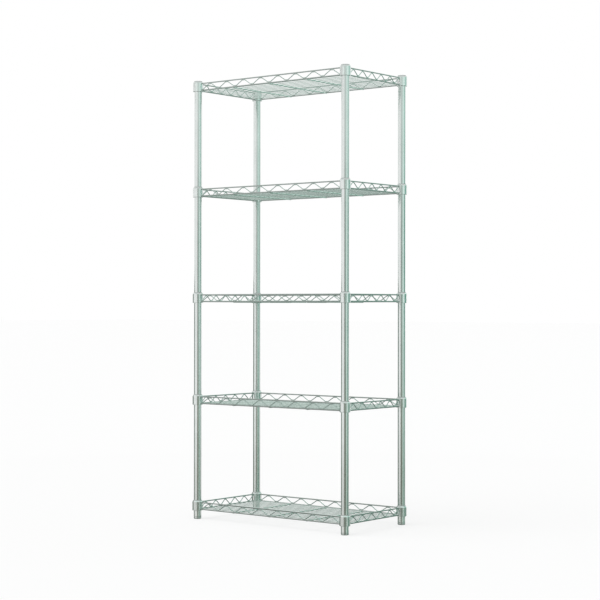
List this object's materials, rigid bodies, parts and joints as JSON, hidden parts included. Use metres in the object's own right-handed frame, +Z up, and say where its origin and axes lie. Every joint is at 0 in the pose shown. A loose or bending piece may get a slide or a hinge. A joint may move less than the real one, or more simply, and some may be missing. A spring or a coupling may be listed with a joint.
{
  "type": "wire shelving rack",
  "caption": "Free-standing wire shelving rack: round posts on levelling feet carry lift-off wire shelves with zigzag rims, each seated on tapered split sleeves at its corner collars.",
  "frame": {"origin": "centre of the footprint at floor level", "axes": "+X along the length to the right, +Y to the back, +Z up"},
  "size_m": [0.667, 0.349, 1.5],
  "materials": {
    "post_steel": "bright plated steel tube",
    "collar_steel": "bright plated steel",
    "wire_steel": "bright plated wire",
    "sleeve_plastic": "satin moulded plastic",
    "cap_plastic": "satin moulded plastic",
    "foot_steel": "bright plated steel",
    "stud_steel": "zinc plated steel"
  },
  "bodies": {
    "posts": {"post_front_left": "post_steel", "post_front_right": "post_steel", "post_rear_left": "post_steel", "post_rear_right": "post_steel", "post_cap_front_left": "cap_plastic", "post_cap_front_right": "cap_plastic", "post_cap_rear_left": "cap_plastic", "post_cap_rear_right": "cap_plastic", "foot_bush_front_left": "stud_steel", "foot_bush_front_right": "stud_steel", "foot_bush_rear_left": "stud_steel", "foot_bush_rear_right": "stud_steel", "shelf_1_sleeves_left": "sleeve_plastic", "shelf_1_sleeves_right": "sleeve_plastic", "shelf_2_sleeves_left": "sleeve_plastic", "shelf_2_sleeves_right": "sleeve_plastic", "shelf_3_sleeves_left": "sleeve_plastic", "shelf_3_sleeves_right": "sleeve_plastic", "shelf_4_sleeves_left": "sleeve_plastic", "shelf_4_sleeves_right": "sleeve_plastic", "shelf_5_sleeves_left": "sleeve_plastic", "shelf_5_sleeves_right": "sleeve_plastic"},
    "shelf_1": {"shelf_1_collars": "collar_steel", "shelf_1_top_rails": "wire_steel", "shelf_1_bottom_rails": "wire_steel", "shelf_1_truss_wires": "wire_steel", "shelf_1_deck_wires": "wire_steel", "shelf_1_support_wires": "wire_steel"},
    "shelf_2": {"shelf_2_collars": "collar_steel", "shelf_2_top_rails": "wire_steel", "shelf_2_bottom_rails": "wire_steel", "shelf_2_truss_wires": "wire_steel", "shelf_2_deck_wires": "wire_steel", "shelf_2_support_wires": "wire_steel"},
    "shelf_3": {"shelf_3_collars": "collar_steel", "shelf_3_top_rails": "wire_steel", "shelf_3_bottom_rails": "wire_steel", "shelf_3_truss_wires": "wire_steel", "shelf_3_deck_wires": "wire_steel", "shelf_3_support_wires": "wire_steel"},
    "shelf_4": {"shelf_4_collars": "collar_steel", "shelf_4_top_rails": "wire_steel", "shelf_4_bottom_rails": "wire_steel", "shelf_4_truss_wires": "wire_steel", "shelf_4_deck_wires": "wire_steel", "shelf_4_support_wires": "wire_steel"},
    "shelf_5": {"shelf_5_collars": "collar_steel", "shelf_5_top_rails": "wire_steel", "shelf_5_bottom_rails": "wire_steel", "shelf_5_truss_wires": "wire_steel", "shelf_5_deck_wires": "wire_steel", "shelf_5_support_wires": "wire_steel"},
    "foot_front_left": {"foot_stud_front_left": "stud_steel", "foot_pad_front_left": "foot_steel"},
    "foot_front_right": {"foot_stud_front_right": "stud_steel", "foot_pad_front_right": "foot_steel"},
    "foot_rear_left": {"foot_stud_rear_left": "stud_steel", "foot_pad_rear_left": "foot_steel"},
    "foot_rear_right": {"foot_stud_rear_right": "stud_steel", "foot_pad_rear_right": "foot_steel"}
  },
  "joints": [
    {"name": "shelf_1_lift", "type": "slide", "parent": "posts", "child": "shelf_1", "axis": [0, 0, 1], "range_m": [0, 0.327]},
    {"name": "shelf_2_lift", "type": "slide", "parent": "posts", "child": "shelf_2", "axis": [0, 0, 1], "range_m": [0, 0.314]},
    {"name": "shelf_3_lift", "type": "slide", "parent": "posts", "child": "shelf_3", "axis": [0, 0, 1], "range_m": [0, 0.327]},
    {"name": "shelf_4_lift", "type": "slide", "parent": "posts", "child": "shelf_4", "axis": [0, 0, 1], "range_m": [0, 0.327]},
    {"name": "shelf_5_lift", "type": "slide", "parent": "posts", "child": "shelf_5", "axis": [0, 0, 1], "range_m": [0, 0.035]},
    {"name": "foot_front_left_screw", "type": "slide", "parent": "posts", "child": "foot_front_left", "axis": [0, 0, -1], "range_m": [0, 0.01]},
    {"name": "foot_front_right_screw", "type": "slide", "parent": "posts", "child": "foot_front_right", "axis": [0, 0, -1], "range_m": [0, 0.01]},
    {"name": "foot_rear_left_screw", "type": "slide", "parent": "posts", "child": "foot_rear_left", "axis": [0, 0, -1], "range_m": [0, 0.01]},
    {"name": "foot_rear_right_screw", "type": "slide", "parent": "posts", "child": "foot_rear_right", "axis": [0, 0, -1], "range_m": [0, 0.01]}
  ]
}
